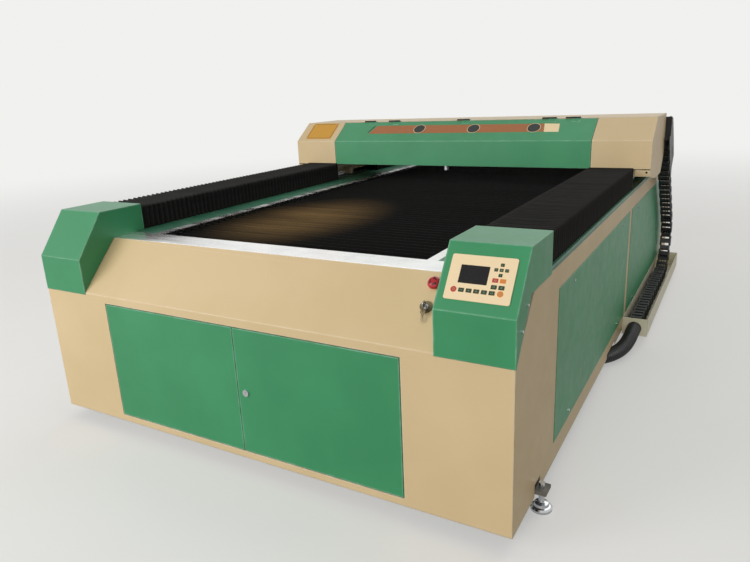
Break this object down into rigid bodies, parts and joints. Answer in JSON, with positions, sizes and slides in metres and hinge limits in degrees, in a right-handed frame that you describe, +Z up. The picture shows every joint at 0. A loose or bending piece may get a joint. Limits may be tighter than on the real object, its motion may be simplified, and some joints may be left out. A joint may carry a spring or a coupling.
{
  "type": "carbon dioxide laser cutter",
  "caption": "Flat-bed laser cutter with a sliding gantry, pleated rail covers, a knife-blade table, folded steel sheets, a drag chain and a keypad panel.",
  "frame": {"origin": "Middle of the machine's plan, on the floor", "axes": "+X right as the operator faces the machine, +Y to the rear, +Z up"},
  "size_m": [2.247, 3.865, 1.168],
  "materials": {
    "cream_paint": "fine satin powder coat",
    "green_paint": "satin powder coat",
    "panel_film": "satin overlay film",
    "screen_glass": "clear cover over a dark display",
    "black_plastic": "fine moulded grain",
    "black_fabric": "coated pleated cloth",
    "black_steel": "blackened steel",
    "bare_steel": "brushed sheet",
    "plated_steel": "bright zinc plate",
    "bare_aluminium": "satin anodised",
    "red_plastic": "glossy moulding",
    "yellow_plastic": "glossy moulding",
    "belt_rubber": "toothed belt rubber",
    "tube_glass": "clear borosilicate"
  },
  "bodies": {
    "bed": {"bed_rails": "cream_paint", "bed_posts": "cream_paint", "bed_cross_tubes": "cream_paint", "levelling_feet": "plated_steel", "front_panel": "cream_paint", "door_pivot_pins": "plated_steel", "side_skins": "cream_paint", "side_panels": "green_paint", "panel_screws": "black_steel", "rear_panel": "cream_paint", "exhaust_collars": "bare_steel", "deck_plates": "green_paint", "table_trim": "bare_steel", "blade_combs": "black_steel", "knife_blades": "black_steel", "scrap_tray": "bare_steel", "end_boxes_front": "green_paint", "end_boxes_rear": "green_paint", "control_panel": "panel_film", "display_screen": "screen_glass", "estop_base": "yellow_plastic", "key_switch_base": "black_plastic", "equipment_shelf": "bare_steel", "bay_electronics": "black_steel", "y_rails": "bare_steel", "y_belts": "belt_rubber", "y_shaft_bearings": "black_steel", "y_motor": "black_steel", "bellows_front": "black_fabric", "bellows_rear": "black_fabric", "chain_tray": "cream_paint", "drag_chain_run": "black_plastic", "drag_chain_loop": "black_plastic", "cable_hose": "black_plastic"},
    "gantry": {"y_carriages": "black_steel", "gantry_beam": "cream_paint", "gantry_legs": "cream_paint", "gantry_base_plate": "cream_paint", "gantry_end_caps": "cream_paint", "gantry_top_cover": "cream_paint", "cover_hinges_fixed": "black_steel", "laser_tube": "tube_glass", "tube_holders": "black_plastic", "mirror_mounts": "bare_aluminium", "x_rail": "bare_steel", "x_belt": "belt_rubber", "x_motor": "black_steel", "chain_bracket": "cream_paint"},
    "head": {"laser_head": "bare_aluminium"},
    "lens": {"lens_tube": "bare_aluminium"},
    "hood": {"gantry_front_cover": "green_paint"},
    "left_door": {"door_left": "green_paint"},
    "right_door": {"door_right": "green_paint"},
    "lock": {"door_lock": "plated_steel"},
    "stop_button": {"estop_button": "red_plastic"},
    "key": {"switch_key": "plated_steel"},
    "belt_shaft": {"y_drive_shaft": "bare_steel"},
    "belt_idlers": {"y_idler_pulleys": "bare_aluminium"},
    "cross_drive": {"x_drive_pulley": "bare_aluminium"},
    "cross_idler": {"x_idler_pulley": "bare_aluminium"}
  },
  "joints": [
    {"name": "gantry_slide", "type": "slide", "parent": "bed", "child": "gantry", "axis": [0, 1, 0], "range_m": [-1.585, 0.909], "deforming": ["bellows_front", "bellows_rear", "drag_chain_loop"]},
    {"name": "head_slide", "type": "slide", "parent": "gantry", "child": "head", "axis": [1, 0, 0], "range_m": [-0.614, 0.686]},
    {"name": "focus_slide", "type": "slide", "parent": "head", "child": "lens", "axis": [0, 0, 1], "range_m": [-0.025, 0]},
    {"name": "hood_hinge", "type": "hinge", "parent": "gantry", "child": "hood", "pos_m": [-0.0265, 0.1725, 1.164], "axis": [-1, 0, 0], "range_deg": [0, 95]},
    {"name": "left_door_hinge", "type": "hinge", "parent": "bed", "child": "left_door", "pos_m": [-0.6845, -1.9215, 0.3315], "axis": [0, 0, -1], "range_deg": [0, 110]},
    {"name": "right_door_hinge", "type": "hinge", "parent": "bed", "child": "right_door", "pos_m": [0.6315, -1.9215, 0.3315], "axis": [0, 0, 1], "range_deg": [0, 110]},
    {"name": "lock_turn", "type": "hinge", "parent": "right_door", "child": "lock", "pos_m": [0.0105, -1.9275, 0.33], "axis": [0, -1, 0], "range_deg": [0, 90]},
    {"name": "stop_press", "type": "slide", "parent": "bed", "child": "stop_button", "axis": [0, 0.7304, -0.683], "range_m": [0, 0.004]},
    {"name": "key_turn", "type": "hinge", "parent": "bed", "child": "key", "pos_m": [0.6885, -1.83553, 0.71617], "axis": [0, 0.7304, -0.683], "range_deg": [0, 90]},
    {"name": "belt_shaft_turn", "type": "hinge", "parent": "bed", "child": "belt_shaft", "pos_m": [-0.0265, 1.5325, 0.787], "axis": [1, 0, 0], "range_deg": [-1989.9, 3468.2]},
    {"name": "belt_idler_turn", "type": "hinge", "parent": "bed", "child": "belt_idlers", "pos_m": [-0.0265, -1.5625, 0.787], "axis": [1, 0, 0], "range_deg": [-1989.9, 3468.2]},
    {"name": "cross_drive_turn", "type": "hinge", "parent": "gantry", "child": "cross_drive", "pos_m": [0.7935, 0.1895, 0.94], "axis": [0, 1, 0], "range_deg": [-2718.6, 3037.1]},
    {"name": "cross_idler_turn", "type": "hinge", "parent": "gantry", "child": "cross_idler", "pos_m": [-0.8465, 0.1895, 0.94], "axis": [0, 1, 0], "range_deg": [-2718.6, 3037.1]}
  ],
  "couplings": [
    {"joint": "belt_shaft_turn", "follows": "gantry_slide", "rad_per_m": -38.168},
    {"joint": "belt_idler_turn", "follows": "gantry_slide", "rad_per_m": -38.168},
    {"joint": "cross_drive_turn", "follows": "head_slide", "rad_per_m": 77.22},
    {"joint": "cross_idler_turn", "follows": "head_slide", "rad_per_m": 77.22}
  ]
}
